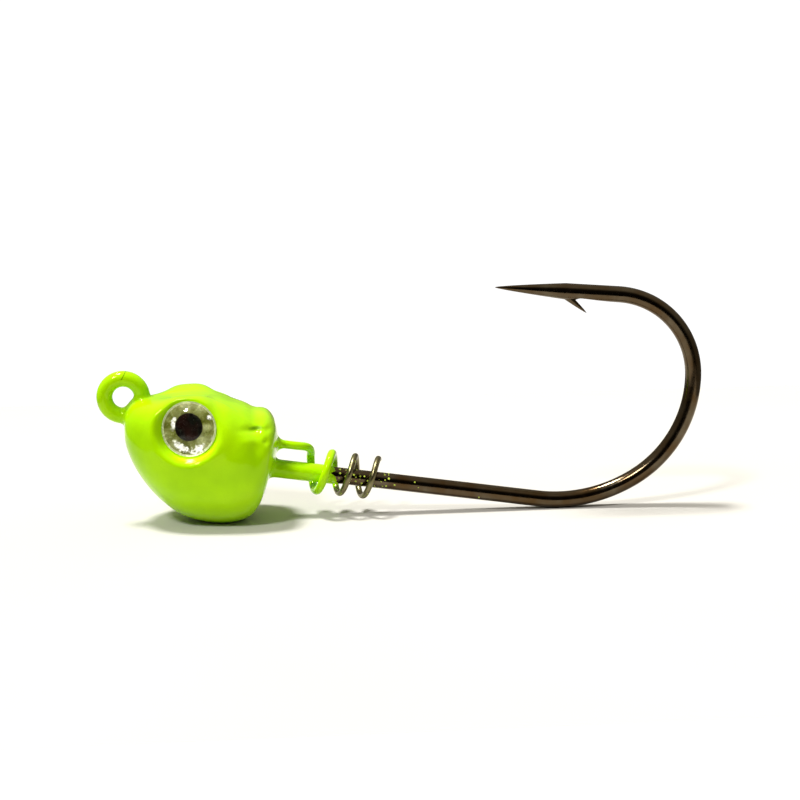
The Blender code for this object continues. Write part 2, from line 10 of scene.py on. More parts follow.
import bpy
import numpy as np
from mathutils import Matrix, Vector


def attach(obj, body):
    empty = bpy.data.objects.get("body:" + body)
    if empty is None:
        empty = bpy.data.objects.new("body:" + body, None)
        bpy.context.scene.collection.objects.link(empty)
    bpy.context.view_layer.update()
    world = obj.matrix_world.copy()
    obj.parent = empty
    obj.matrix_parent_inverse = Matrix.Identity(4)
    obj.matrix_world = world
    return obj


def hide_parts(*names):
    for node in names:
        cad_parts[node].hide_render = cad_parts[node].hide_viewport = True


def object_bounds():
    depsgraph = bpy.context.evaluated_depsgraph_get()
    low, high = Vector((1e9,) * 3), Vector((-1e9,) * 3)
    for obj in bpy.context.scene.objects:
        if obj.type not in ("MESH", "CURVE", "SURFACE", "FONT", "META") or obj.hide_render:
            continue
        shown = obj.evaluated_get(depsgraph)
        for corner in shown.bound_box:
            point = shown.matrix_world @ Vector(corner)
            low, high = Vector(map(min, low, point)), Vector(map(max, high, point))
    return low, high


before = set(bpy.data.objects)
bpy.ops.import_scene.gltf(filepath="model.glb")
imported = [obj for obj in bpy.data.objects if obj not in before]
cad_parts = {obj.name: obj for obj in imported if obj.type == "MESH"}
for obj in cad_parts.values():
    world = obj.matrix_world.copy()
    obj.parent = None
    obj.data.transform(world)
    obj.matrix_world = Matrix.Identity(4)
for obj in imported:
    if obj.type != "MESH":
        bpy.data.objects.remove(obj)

import openvdb
from mathutils import Matrix, Vector

CAD_LOW, CAD_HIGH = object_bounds()

MM = 0.001
ORIGIN = Vector((CAD_LOW.x, (CAD_LOW.y + CAD_HIGH.y) / 2, CAD_LOW.z))
BODY = "root"

# Hook wire
WIRE_R = 0.92
SHANK_SLOPE = math.radians(8.5)
BOTTOM_X = 51.85
LOW_BEND_R = 17.0
LOW_BEND_END = math.radians(30)
MID_BEND_R = 13.6
TOP_BEND_R = 9.45
LEG_DIRECTION = math.radians(175.5)
LEG_LENGTH = 14.0
POINT_TAPER = 7.9
POINT_R = 0.04
HOOK_START_X = 12.1
BARB_FROM_TIP = 8.45
BARB_LENGTH = 2.75
BARB_ANGLE = math.radians(36)
BARB_ROOT_AHEAD = 0.9
BARB_ROOT_OFFSET = 0.12  # from the wire's centreline
BARB_BURIED = 0.95  # extra length for the part inside the wire
BARB_ROOT_R = 0.50
BARB_TIP_R = 0.02
BARB_POWER = 0.75
BARB_STEPS = 18
BARB_SIDES = 24
SCOOP_LENGTH = 5.0
SCOOP_DEPTH = 0.33
SCOOP_SETBACK = 0.75
HOOK_SIDES = 56

# Line eye
RING_X = 2.88
RING_Z = 14.15
RING_R = 2.07
RING_PAINT_R = 0.89

# Keeper
KEEPER_R = 0.34
KEEPER_PAINT_R = 0.47
COIL_R = 2.18
COIL_LIFT = 0.22
COIL_PITCH = 2.6
COIL_START_X = 23.4
COIL_TURNS = 3.06
KEEPER_SIDES = 28
LEG_RISE = 0.45
CORNER_R = 2.3
KEEPER_START_X = 13.4
PAINT_TURNS = 1.20  # the keeper's paint is whole up to here and gone after FADE_TURNS more
FADE_TURNS = 0.34

# Shank paint
SHANK_PAINT_R = 1.045
SHANK_PAINT_END = 26.1

# Eyes
EYE_X = 10.20
EYE_Y = 5.0
EYE_Z = 11.40
EYE_R = 3.02
EYE_TILT = math.radians(9)
EYE_TOE_IN = math.radians(12)
PUPIL_R = 1.46
PUPIL_RISE = 0.2
DOME_HEIGHT = 1.20
DOME_EDGE = 0.28

SECTIONS = (
    ((2.92, 11.65), (2.92, 11.65), 0.0, 2.2, 2.2),
    ((3.15, 12.75), (2.88, 10.15), 1.60, 2.2, 2.2),
    ((3.95, 13.62), (3.05, 8.55), 2.90, 2.4, 2.2),
    ((5.50, 14.02), (3.92, 6.30), 4.15, 3.0, 2.2),
    ((7.40, 14.12), (5.35, 4.05), 5.30, 3.8, 2.2),
    ((9.40, 14.22), (7.15, 2.10), 6.05, 4.2, 2.2),
    ((11.40, 14.28), (9.35, 0.60), 6.45, 3.8, 2.2),
    ((13.40, 14.05), (12.20, -0.22), 6.55, 3.0, 2.2),
    ((15.40, 13.35), (14.50, -0.28), 6.60, 2.6, 2.2),
    ((17.20, 12.75), (16.35, 0.25), 6.35, 2.4, 2.2),
    ((18.70, 12.25), (17.40, 1.40), 5.95, 2.4, 2.3),
    ((19.45, 11.35), (18.05, 2.80), 5.30, 2.4, 2.4),
    ((19.78, 10.20), (18.65, 4.60), 4.00, 2.4, 2.4),
    ((19.88, 9.10), (19.30, 6.40), 2.10, 2.2, 2.2),
    ((19.88, 7.80), (19.88, 7.80), 0.0, 2.2, 2.2),
)

# ---------------------------------------------------------------- placing


def placed(points):
    """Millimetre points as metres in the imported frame."""
    return np.asarray(points, float) * MM + np.array(ORIGIN)


def new_piece(name, points, faces, stands_for, mat, smooth_angle=None):
    """A closed mesh piece from millimetre points, riding on the one body."""
    mesh = bpy.data.meshes.new(name)
    mesh.from_pydata(placed(points).tolist(), [], faces)
    mesh.validate()
    mesh.update()
    obj = bpy.data.objects.new(name, mesh)
    bpy.context.scene.collection.objects.link(obj)
    mesh.materials.append(mat)
    mesh.polygons.foreach_set("use_smooth", [True] * len(mesh.polygons))
    if smooth_angle:
        mesh.set_sharp_from_angle(angle=math.radians(smooth_angle))
    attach(obj, BODY)
    if stands_for:
        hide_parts(*stands_for)
    return obj


def point_attribute(obj, name, values):
    layer = obj.data.attributes.new(name, "FLOAT", "POINT")
    layer.data.foreach_set("value", np.asarray(values, np.float32))


# ---------------------------------------------------------------- paths


def shank_z(x):
    start_x = BOTTOM_X - LOW_BEND_R * math.sin(SHANK_SLOPE)
    start_z = WIRE_R + LOW_BEND_R * (1 - math.cos(SHANK_SLOPE))
    return start_z + (start_x - x) * math.tan(SHANK_SLOPE)


def hook_path(step=0.3):
    """Centreline points (x, z), direction angles and wire radii, from inside the head to the point."""
    start_x = BOTTOM_X - LOW_BEND_R * math.sin(SHANK_SLOPE)
    x, z, angle = HOOK_START_X, shank_z(HOOK_START_X), -SHANK_SLOPE
    stretches = (
        ((start_x - x) / math.cos(SHANK_SLOPE), None, None),
        (None, LOW_BEND_R, LOW_BEND_END),
        (None, MID_BEND_R, math.pi / 2),
        (None, TOP_BEND_R, LEG_DIRECTION),
        (LEG_LENGTH - POINT_TAPER, None, None),
    )
    rows = [(x, z, angle)]
    for length, radius, end in stretches:
        if radius is None:
            count = max(2, round(length / (step * 2)))
            for i in range(1, count + 1):
                rows.append((x + math.cos(angle) * length * i / count,
                             z + math.sin(angle) * length * i / count, angle))
        else:
            centre = (x - radius * math.sin(angle), z + radius * math.cos(angle))
            count = round(radius * (end - angle) / step)
            for i in range(1, count + 1):
                a = angle + (end - angle) * i / count
                rows.append((centre[0] + radius * math.sin(a), centre[1] - radius * math.cos(a), a))
        x, z, angle = rows[-1]
    radii = [WIRE_R] * len(rows)
    count = 40
    for i in range(1, count + 1):
        way = POINT_TAPER * i / count
        rows.append((x + math.cos(angle) * way, z + math.sin(angle) * way, angle))
        left = 1 - i / count
        radii.append(POINT_R + (WIRE_R - POINT_R) * left**0.8)
    return np.array(rows), np.array(radii)


def keeper_path(steps_per_turn=72):
    """Centreline of the keeper from inside the head, and how many turns each point is round the coil."""
    along = np.array((math.cos(SHANK_SLOPE), 0, -math.sin(SHANK_SLOPE)))
    up = np.array((math.sin(SHANK_SLOPE), 0, math.cos(SHANK_SLOPE)))
    side = np.array((0.0, 1.0, 0.0))

    def on_coil(x, angle, radius):
        axis = np.array((x, 0, shank_z(x))) + up * COIL_LIFT
        return axis + (up * math.cos(angle) + side * math.sin(angle)) * radius

    leg_end = on_coil(COIL_START_X - CORNER_R, 0, COIL_R + LEG_RISE)
    leg_start = leg_end - along * (leg_end[0] - KEEPER_START_X)
    points = [leg_start + (leg_end - leg_start) * i / 12 for i in range(13)]
    turns = [-1.0] * len(points)
    corner_angle = CORNER_R / COIL_R
    for i in range(1, 15):
        a = math.pi / 2 * i / 14
        x = COIL_START_X - CORNER_R + CORNER_R * math.sin(a)
        angle = corner_angle * (1 - math.cos(a))
        points.append(on_coil(x, angle, COIL_R + LEG_RISE * (1 - 0.25 * i / 14)))
        turns.append(angle / (2 * math.pi))
    first = corner_angle / (2 * math.pi)
    count = int(steps_per_turn * COIL_TURNS)
    for i in range(1, count + 1):
        turn = first + (COIL_TURNS - first) * i / count
        fade = max(0.0, 1 - turn / 0.35)
        x = COIL_START_X + COIL_PITCH * (turn - first)
        points.append(on_coil(x, 2 * math.pi * turn, COIL_R + LEG_RISE * 0.75 * fade))
        turns.append(turn)
    return np.array(points), np.array(turns)


# ---------------------------------------------------------------- swept wires


def swept(points, radii, sides):
    """Rings of points round a path, with flat ends, as (points, faces, way along, way round)."""
    points = np.asarray(points, float)
    count = len(points)
    tangent = np.gradient(points, axis=0)
    tangent /= np.linalg.norm(tangent, axis=1)[:, None]
    normal = np.cross(tangent[0], (0.0, 1.0, 0.0))
    if np.linalg.norm(normal) < 1e-3:
        normal = np.cross(tangent[0], (0.0, 0.0, 1.0))
    normal /= np.linalg.norm(normal)
    rings, angles = [], np.arange(sides) * 2 * math.pi / sides
    for i in range(count):
        normal = normal - tangent[i] * (normal @ tangent[i])
        normal /= np.linalg.norm(normal)
        other = np.cross(tangent[i], normal)
        ring = points[i] + radii[i] * (
            np.cos(angles)[:, None] * normal + np.sin(angles)[:, None] * other
        )
        rings.append(ring)
    verts = np.concatenate(rings + [points[:1], points[-1:]])
    faces = []
    for i in range(count - 1):
        a, b = i * sides, (i + 1) * sides
        for k in range(sides):
            n = (k + 1) % sides
            faces.append((a + k, a + n, b + n, b + k))
    low, high, last = count * sides, count * sides + 1, (count - 1) * sides
    for k in range(sides):
        n = (k + 1) % sides
        faces.append((low, n, k))
        faces.append((high, last + k, last + n))
    ways = np.concatenate([[0], np.cumsum(np.linalg.norm(np.diff(points, axis=0), axis=1))])
    along = np.concatenate([np.repeat(ways, sides), ways[:1], ways[-1:]])
    around = np.concatenate([np.tile(angles, count), [0, 0]])
    return verts, faces, along, around


# ---------------------------------------------------------------- distance fields

VOXEL = 0.1
FIELD_LOW = np.array((-0.6, -7.6, -0.7))
FIELD_HIGH = np.array((29.0, 7.6, 18.3))
FAR = 2.0
CELLS = tuple(np.round((FIELD_HIGH - FIELD_LOW) / VOXEL).astype(int) + 1)
AXES = [FIELD_LOW[i] + VOXEL * np.arange(CELLS[i]) for i in range(3)]


def smooth_min(a, b, blend):
    """The nearer of two fields, rounded off where they meet within blend."""
    share = np.clip(0.5 + 0.5 * (b - a) / blend, 0, 1)
    return b + (a - b) * share - blend * share * (1 - share)


def smooth_max(a, b, blend):
    return -smooth_min(-a, -b, blend)


def window(low, high):
    """Slices of the field, and its axes there, shaped to broadcast."""
    slices, axes = [], []
    for i in range(3):
        first = int(np.clip(np.floor((low[i] - FIELD_LOW[i]) / VOXEL), 0, CELLS[i] - 1))
        last = int(np.clip(np.ceil((high[i] - FIELD_LOW[i]) / VOXEL) + 1, 1, CELLS[i]))
        slices.append(slice(first, last))
        shape = [1, 1, 1]
        shape[i] = last - first
        axes.append(AXES[i][first:last].reshape(shape))
    return tuple(slices), axes


def tube_field(points, radii, reach=1.0):
    """Distance to a tube of changing radius through points."""
    field = np.full(CELLS, FAR, np.float32)
    for i in range(len(points) - 1):
        a, b = points[i], points[i + 1]
        grow = max(radii[i], radii[i + 1]) + reach
        cut, (x, y, z) = window(np.minimum(a, b) - grow, np.maximum(a, b) + grow)
        d = b - a
        t = ((x - a[0]) * d[0] + (y - a[1]) * d[1] + (z - a[2]) * d[2]) / (d @ d)
        t = np.clip(t, 0, 1)
        gap = (x - a[0] - d[0] * t) ** 2 + (y - a[1] - d[1] * t) ** 2 + (z - a[2] - d[2] * t) ** 2
        here = np.sqrt(gap) - (radii[i] + (radii[i + 1] - radii[i]) * t)
        field[cut] = np.minimum(field[cut], here)
    return field


def lattice_noise(x, y, z, size, seed):
    """Smooth random values from 0 to 1 that change over about size millimetres."""
    rng = np.random.default_rng(seed)
    table = rng.random((64, 64, 64), dtype=np.float32)
    spots, shares = [], []
    for value in (x, y, z):
        scaled = (value - FIELD_LOW.min()) / size
        whole = np.floor(scaled).astype(int)
        share = scaled - whole
        spots.append(whole)
        shares.append(share * share * (3 - 2 * share))
    total = 0.0
    for i in (0, 1):
        for j in (0, 1):
            for k in (0, 1):
                weight = 1.0
                for share, corner in zip(shares, (i, j, k)):
                    weight = weight * (share if corner else 1 - share)
                here = table[(spots[0] + i) % 64, (spots[1] + j) % 64, (spots[2] + k) % 64]
                total = total + weight * here
    return total


# ---------------------------------------------------------------- head shape


def bell(distance, spread):
    return np.exp(-0.5 * (distance / spread) ** 2)


def eye_axes(side):
    """Matrix of an eye in millimetres: local Z looks out of the head. side is -1 left, 1 right."""
    outwards = Vector((-math.sin(EYE_TOE_IN), side * math.cos(EYE_TOE_IN), 0))
    outwards = (outwards * math.cos(EYE_TILT) + Vector((0, 0, math.sin(EYE_TILT)))).normalized()
    turn = outwards.to_track_quat("Z", "Y").to_matrix().to_4x4()
    return Matrix.Translation(Vector((EYE_X, side * EYE_Y, EYE_Z))) @ turn


def to_eye(side, x, y, z):
    """(distance from the eye's axis, height above its seat) of points."""
    inverse = np.array(eye_axes(side).inverted())
    u = inverse[0, 0] * x + inverse[0, 1] * y + inverse[0, 2] * z + inverse[0, 3]
    v = inverse[1, 0] * x + inverse[1, 1] * y + inverse[1, 2] * z + inverse[1, 3]
    w = inverse[2, 0] * x + inverse[2, 1] * y + inverse[2, 2] * z + inverse[2, 3]
    return np.sqrt(u * u + v * v), w


# Soft bumps (centre, spread, height) on each cheek, with y as the distance from the middle plane
BUMPS = (
    ((4.2, 0.0, 13.5), (0.7, 1.1, 0.7), 0.22),  # nose, against the line eye
    ((17.05, 5.6, 11.15), (0.85, 1.2, 0.24), -0.26),  # gill pit
    ((17.55, 5.3, 11.10), (0.32, 1.2, 0.22), -0.14),  # its deep end
    ((16.95, 6.0, 9.95), (0.75, 1.0, 0.40), 0.20),  # lip under the pit
    ((18.45, 5.2, 9.75), (0.24, 1.0, 0.24), -0.15),  # lower dent at the collar
    ((18.75, 4.2, 10.95), (0.30, 1.0, 0.24), -0.12),  # upper dent
    ((18.25, 5.0, 11.35), (0.28, 1.0, 0.26), 0.12),  # small bump beside it
)
BROW_CENTRE = (10.15, 4.1, 14.0)
BROW_SPREAD = (2.05, 1.5, 1.2)
BROW_HEIGHT = 0.75
# where the gill pit's paint is darkened in colour as painted shade
PIT_SHADE_CENTRE = (17.25, 11.12)
PIT_SHADE_SPREAD = (0.62, 0.17)
CRACK_X = 3.25
CRACK_TOP = 17.1
CRACK_LEAN = 0.55
CRACK_LENGTH = 0.95
CRACK_SPREAD = 0.045
RIM_R = 4.2  # raised rim round each eye seat
RIM_SPREAD = 0.5
RIM_HEIGHT = 0.10
GROOVE_X = 17.35
GROOVE_WIDTH = 0.55
GROOVE_DEPTH = 0.20


def head_relief(p):
    x, y, z = p[..., 0], np.abs(p[..., 1]), p[..., 2]
    rise = np.zeros(x.shape)
    for centre, spread, height in BUMPS:
        rise += height * (
            bell(x - centre[0], spread[0]) * bell(y - centre[1], spread[1])
            * bell(z - centre[2], spread[2])
        )
    rise += BROW_HEIGHT * (
        np.exp(-0.5 * ((x - BROW_CENTRE[0]) / BROW_SPREAD[0]) ** 4)
        * bell(y - BROW_CENTRE[1], BROW_SPREAD[1]) * bell(z - BROW_CENTRE[2], BROW_SPREAD[2])
    )
    high = np.clip((z - 5.0) / 4.0, 0, 1)
    rise -= GROOVE_DEPTH * bell(x - GROOVE_X, GROOVE_WIDTH) * high
    radius, height = to_eye(1, x, y, z)
    rise += RIM_HEIGHT * bell(radius - RIM_R, RIM_SPREAD) * (height > -2.5)
    return rise


def blended(rows, place):
    i = min(int(place), len(rows) - 2)
    t = place - i
    a, b, c, d = (np.array(rows[min(max(k, 0), len(rows) - 1)]) for k in (i - 1, i, i + 1, i + 2))
    value = 2 * b + (c - a) * t + (2 * a - 5 * b + 4 * c - d) * t**2
    return (value + (3 * b - a - 3 * c + d) * t**3) / 2


def head_field():
    """Distance to the head's outer surface, before the eye seats."""
    rows = [(*top, *bottom, *rest) for top, bottom, *rest in SECTIONS]
    per, sides = 12, 192
    count = (len(rows) - 1) * per
    angles = np.arange(sides) * 2 * math.pi / sides
    rings = []
    for i in range(1, count):
        tx, tz, bx, bz, half, square_up, square_down = blended(rows, i / per)
        square = np.where(np.sin(angles) > 0, square_up, square_down)
        across = np.copysign(np.abs(np.cos(angles)) ** (2 / square), np.cos(angles))
        height = np.copysign(np.abs(np.sin(angles)) ** (2 / square), np.sin(angles))
        ring = np.stack([
            (tx + bx) / 2 + (tx - bx) / 2 * height,
            half * across,
            (tz + bz) / 2 + (tz - bz) / 2 * height,
        ], axis=1)
        rings.append(ring)
    grid = np.array(rings)
    round_way = np.roll(grid, -1, axis=1) - np.roll(grid, 1, axis=1)
    normal = np.cross(round_way, np.gradient(grid, axis=0))
    normal /= np.linalg.norm(normal, axis=2)[..., None] + 1e-9
    middle = grid.mean(axis=(0, 1))
    if ((grid - middle) * normal).sum() < 0:
        normal = -normal
    grid = grid + normal * head_relief(grid)[..., None]
    grid[..., 2] = np.maximum(grid[..., 2], 0.0)
    verts = np.concatenate([
        grid.reshape(-1, 3), [(rows[0][0], 0, rows[0][1])], [(rows[-1][0], 0, rows[-1][1])],
    ]).astype(np.float32)
    n = len(rings)
    ring_at, k = np.meshgrid(np.arange(n - 1), np.arange(sides), indexing="ij")
    nxt = (k + 1) % sides
    quads = np.stack([
        ring_at * sides + k, ring_at * sides + nxt,
        (ring_at + 1) * sides + nxt, (ring_at + 1) * sides + k,
    ], axis=-1).reshape(-1, 4).astype(np.uint32)
    k = np.arange(sides)
    nxt = (k + 1) % sides
    first, last = n * sides, n * sides + 1
    end = (n - 1) * sides
    triangles = np.concatenate([
        np.stack([k, np.full(sides, first), nxt], axis=1),
        np.stack([end + nxt, np.full(sides, last), end + k], axis=1),
    ]).astype(np.uint32)
    band = 9
    grid = openvdb.FloatGrid.createLevelSetFromPolygons(
        verts, triangles, quads, openvdb.createLinearTransform(voxelSize=VOXEL), band,
    )
    field = np.zeros(CELLS, np.float32)
    start = tuple(int(v) for v in np.round(FIELD_LOW / VOXEL))
    grid.copyToArray(field, start)
    return field


SEAT_R = 3.10


def seat_profile(radius):
    """Height of the seat's surface at this distance from its axis, and how steep it is there."""
    wall = np.clip((radius - SEAT_R) / 0.06, 0, 1)
    out = np.maximum(radius - 3.14, 0) / 1.1
    height = 0.10 * wall + 0.80 * out + 0.45 * out**2 + 0.12 * out**3
    steep = np.where(radius > SEAT_R, (0.80 + 0.90 * out + 0.36 * out**2) / 1.1, 0.0)
    return height, steep


def seat_field(side):
    """Negative in the dished seat of an eye, within about a millimetre of its surface."""
    matrix = eye_axes(side)
    centre = np.array(matrix.translation)
    cut, (x, y, z) = window(centre - 6.5, centre + 6.5)
    radius, height = to_eye(side, x, y, z)
    floor, steep = seat_profile(radius)
    field = np.full(CELLS, FAR, np.float32)
    field[cut] = np.clip((floor - height) / np.sqrt(1 + steep**2), -FAR, FAR)
    return field


def ring_field():
    field = np.full(CELLS, FAR, np.float32)
    grow = RING_R + RING_PAINT_R + 1.0
    centre = np.array((RING_X, 0, RING_Z))
    cut, (x, y, z) = window(centre - grow, centre + grow)
    flat = np.sqrt((x - RING_X) ** 2 + (z - RING_Z) ** 2) - RING_R
    field[cut] = np.sqrt(flat**2 + y**2) - RING_PAINT_R
    return field


def shank_paint_field():
    """The sleeve of paint on the shank, with a ragged end that sinks into the wire."""
    field = np.full(CELLS, FAR, np.float32)
    low = (15.0, -2.4, shank_z(28.5) - 2.4)
    cut, (x, y, z) = window(low, (28.5, 2.4, shank_z(15.0) + 2.4))
    drop = (z - (shank_z(0) - np.tan(SHANK_SLOPE) * x)) * math.cos(SHANK_SLOPE)
    radius = np.full(np.broadcast(x, y, z).shape, SHANK_PAINT_R)
    rough = lattice_noise(x, y, z, 0.42, 3) - 0.5
    fine = lattice_noise(x, y, z, 0.22, 4) - 0.5
    past = (x - SHANK_PAINT_END) + 1.5 * rough + 0.9 * fine
    radius -= 0.20 * np.clip(past / 0.9 + 0.5, 0, 1)
    pits = lattice_noise(x, y, z, 0.30, 9)
    near_end = np.clip((x - 22.8) / 1.6, 0, 1)
    radius -= 0.16 * np.clip((pits - 0.86) / 0.05, 0, 1) * near_end
    here = np.sqrt(drop**2 + y**2) - radius
    here = np.maximum(here, x - 28.0)
    field[cut] = here
    return field


def keeper_paint_field(points, turns):
    whole = turns <= PAINT_TURNS + FADE_TURNS
    points, turns = points[whole], turns[whole]
    fade = np.clip((turns - PAINT_TURNS) / FADE_TURNS, 0, 1)
    radii = KEEPER_PAINT_R - (KEEPER_PAINT_R - KEEPER_R + 0.05) * fade
    field = tube_field(points, radii)
    end = points[-1]
    cut, (x, y, z) = window(end - 3.2, end + 3.2)
    rough = lattice_noise(x, y, z, 0.26, 5) - 0.5
    near = np.sqrt((x - end[0]) ** 2 + (y - end[1]) ** 2 + (z - end[2]) ** 2)
    field[cut] += 0.16 * rough * np.clip(1 - near / 3.0, 0, 1)
    return field


def painted_skin(mat, keeper):
    """One film of paint over the head, line eye, shank and keeper, drawn into each corner."""
    skin = head_field()
    for side in (-1, 1):
        skin = smooth_max(skin, -seat_field(side), 0.40)
    skin = smooth_min(skin, ring_field(), 0.60)
    wires = smooth_min(shank_paint_field(), keeper_paint_field(*keeper), 0.55)
    skin = smooth_min(skin, wires, 0.85)
    grid = openvdb.FloatGrid(FAR)
    grid.copyFromArray(skin.astype(np.float32), tuple(int(v) for v in np.round(FIELD_LOW / VOXEL)))
    grid.transform = openvdb.createLinearTransform(voxelSize=VOXEL)
    points, quads = grid.convertToQuads(0.0)
    skin = new_piece(
        "painted_skin", points, quads[:, ::-1].tolist(),
        ("head_coat", "eye_ring_coat", "shank_coat", "keeper_coat"), mat,
    )
    x, y, z = np.asarray(points, float).T
    # painted shade: a dark mark in the gill pit, kept as the hollow attribute
    pit_x, pit_z = PIT_SHADE_CENTRE
    pit = bell(x - pit_x - 0.2, PIT_SHADE_SPREAD[0]) * bell(z - pit_z, PIT_SHADE_SPREAD[1])
    point_attribute(skin, "hollow", np.where(np.abs(y) > 3, pit, 0))
    # a hairline crack in the paint across the top of the line eye, facing the left side
    crack = bell(x - CRACK_X + CRACK_LEAN * (CRACK_TOP - z), CRACK_SPREAD)
    crack = np.where((z > CRACK_TOP - CRACK_LENGTH) & (y < 0.1), crack, 0)
    point_attribute(skin, "crack", crack)
    return skin


# ---------------------------------------------------------------- material helpers


class Look:
    """A node material with its Principled shader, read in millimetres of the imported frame."""

    def __init__(self, name, **values):
        self.mat = bpy.data.materials.new(name)
        self.mat.use_nodes = True
        self.tree = self.mat.node_tree
        self.shader = self.tree.nodes["Principled BSDF"]
        for key, value in values.items():
            self.set(key.replace("_", " ").title().replace("Ior", "IOR"), value)
        coords = self.add("ShaderNodeTexCoord").outputs["Object"]
        self.mm = self.vector("SCALE", coords, scale=1000.0)

    def add(self, kind):
        return self.tree.nodes.new(kind)

    def link(self, source, target):
        self.tree.links.new(source, target)

    def set(self, socket, value):
        target = self.shader.inputs[socket]
        if isinstance(value, bpy.types.NodeSocket):
            self.link(value, target)
        elif isinstance(value, tuple):
            target.default_value = (*value, 1.0)
        else:
            target.default_value = value

    def vector(self, operation, first, second=None, scale=None):
        node = self.add("ShaderNodeVectorMath")
        node.operation = operation
        self.link(first, node.inputs[0])
        if second is not None:
            if isinstance(second, tuple):
                node.inputs[1].default_value = second
            else:
                self.link(second, node.inputs[1])
        if scale is not None:
            node.inputs["Scale"].default_value = scale
        return node.outputs["Value" if operation in ("DOT_PRODUCT", "LENGTH") else 0]

    def math(self, operation, first, second=None, clamp=False):
        node = self.add("ShaderNodeMath")
        node.operation = operation
        node.use_clamp = clamp
        for socket, value in zip(node.inputs, (first, second)):
            if isinstance(value, bpy.types.NodeSocket):
                self.link(value, socket)
            elif value is not None:
                socket.default_value = value
        return node.outputs[0]

    def noise(self, scale, detail=2.0, rough=0.5, vector=None, distortion=0.0):
        node = self.add("ShaderNodeTexNoise")
        node.inputs["Scale"].default_value = scale
        node.inputs["Detail"].default_value = detail
        node.inputs["Roughness"].default_value = rough
        node.inputs["Distortion"].default_value = distortion
        self.link(vector or self.mm, node.inputs["Vector"])
        return node.outputs["Fac"]

    def cells(self, scale, vector=None, feature="F1"):
        """Voronoi cells: (distance to the nearest centre, the cell's random colour)."""
        node = self.add("ShaderNodeTexVoronoi")
        node.feature = feature
        node.inputs["Scale"].default_value = scale
        self.link(vector or self.mm, node.inputs["Vector"])
        return node.outputs["Distance"], node.outputs["Color"]

    def part(self, vector, axis):
        node = self.add("ShaderNodeSeparateXYZ")
        self.link(vector, node.inputs[0])
        return node.outputs[axis]

    def remap(self, value, from_low, from_high, to_low, to_high, smooth=False):
        node = self.add("ShaderNodeMapRange")
        node.interpolation_type = "SMOOTHSTEP" if smooth else "LINEAR"
        self.link(value, node.inputs["Value"])
        for name, number in (("From Min", from_low), ("From Max", from_high),
                             ("To Min", to_low), ("To Max", to_high)):
            node.inputs[name].default_value = number
        return node.outputs["Result"]

    def ramp(self, value, *stops):
        node = self.add("ShaderNodeValToRGB")
        elements = node.color_ramp.elements
        while len(elements) < len(stops):
            elements.new(0.5)
        for element, (place, colour) in zip(elements, stops):
            element.position = place
            element.color = (*colour, 1.0)
        self.link(value, node.inputs["Fac"])
        return node.outputs["Color"]

    def mix(self, share, first, second):
        node = self.add("ShaderNodeMix")
        node.data_type = "RGBA"
        for socket, value in zip((node.inputs[0], node.inputs[6], node.inputs[7]),
                                 (share, first, second)):
            if isinstance(value, bpy.types.NodeSocket):
                self.link(value, socket)
            elif isinstance(value, tuple):
                socket.default_value = (*value, 1.0)
            else:
                socket.default_value = value
        return node.outputs[2]

    def bump(self, height, strength, distance_mm, below=None):
        node = self.add("ShaderNodeBump")
        node.inputs["Strength"].default_value = strength
        node.inputs["Distance"].default_value = distance_mm * MM
        self.link(height, node.inputs["Height"])
        if below is not None:
            self.link(below, node.inputs["Normal"])
        self.link(node.outputs[0], self.shader.inputs["Normal"])
        return node.outputs[0]

    def attribute(self, name):
        node = self.add("ShaderNodeAttribute")
        node.attribute_name = name
        return node.outputs["Fac"]

    def combine(self, *values):
        node = self.add("ShaderNodeCombineXYZ")
        for socket, value in zip(node.inputs, values):
            if isinstance(value, bpy.types.NodeSocket):
                self.link(value, socket)
            else:
                socket.default_value = value
        return node.outputs[0]

    def dots(self, scale, density, size):
        """Round spots, one in each kept cell. density and size are sockets or numbers."""
        distance, colour = self.cells(scale)
        keep = self.math("LESS_THAN", self.part(colour, 0), density)
        size = self.math("MULTIPLY", self.remap(self.part(colour, 1), 0, 1, 0.35, 1.0), size)
        spot = self.math("LESS_THAN", distance, size)
        return self.math("MULTIPLY", keep, spot)

    def from_front(self):
        """Millimetres behind the front of the line eye."""
        return self.math("SUBTRACT", self.part(self.mm, 0), ORIGIN.x / MM)


CHARTREUSE = (0.41, 0.79, 0.001)
CHARTREUSE_DEEP = (0.34, 0.69, 0.001)
CHARTREUSE_PALE = (0.47, 0.85, 0.002)
BLACK_NICKEL = (0.094, 0.068, 0.040)
OVERSPRAY = (0.50, 0.62, 0.06)


def paint_look():
    look = Look(
        "chartreuse_powder_coat", specular_tint=(0.85, 1.0, 0.22), specular_ior_level=0.5,
    )
    broad = look.noise(0.22, 3.0)
    colour = look.ramp(broad, (0.30, CHARTREUSE_DEEP), (0.52, CHARTREUSE), (0.75, CHARTREUSE_PALE))
    fine = look.noise(5.0, 2.0)
    colour = look.mix(look.remap(fine, 0.35, 0.75, 0.0, 0.25), colour, CHARTREUSE_DEEP)
    specks = look.dots(0.42, 0.16, 0.045)
    colour = look.mix(specks, colour, (0.05, 0.09, 0.004))
    # painted shade: the gill pit's colour pulled towards deep green, from the hollow attribute
    hollow = look.remap(look.attribute("hollow"), 0.15, 0.9, 0.0, 0.72, True)
    colour = look.mix(hollow, colour, (0.07, 0.20, 0.001))
    crack = look.remap(look.attribute("crack"), 0.15, 0.8, 0.0, 0.7, True)
    colour = look.mix(crack, colour, (0.05, 0.10, 0.002))
    look.set("Base Color", colour)
    rough = look.remap(look.noise(1.6, 3.0), 0.3, 0.7, 0.07, 0.13)
    look.set("Roughness", look.math("ADD", rough, look.math("MULTIPLY", hollow, 0.5)))
    peel = look.bump(look.noise(0.85, 2.0, 0.45), 0.30, 0.10)
    look.bump(look.noise(7.0, 2.0), 0.10, 0.02, peel)
    return look.mat


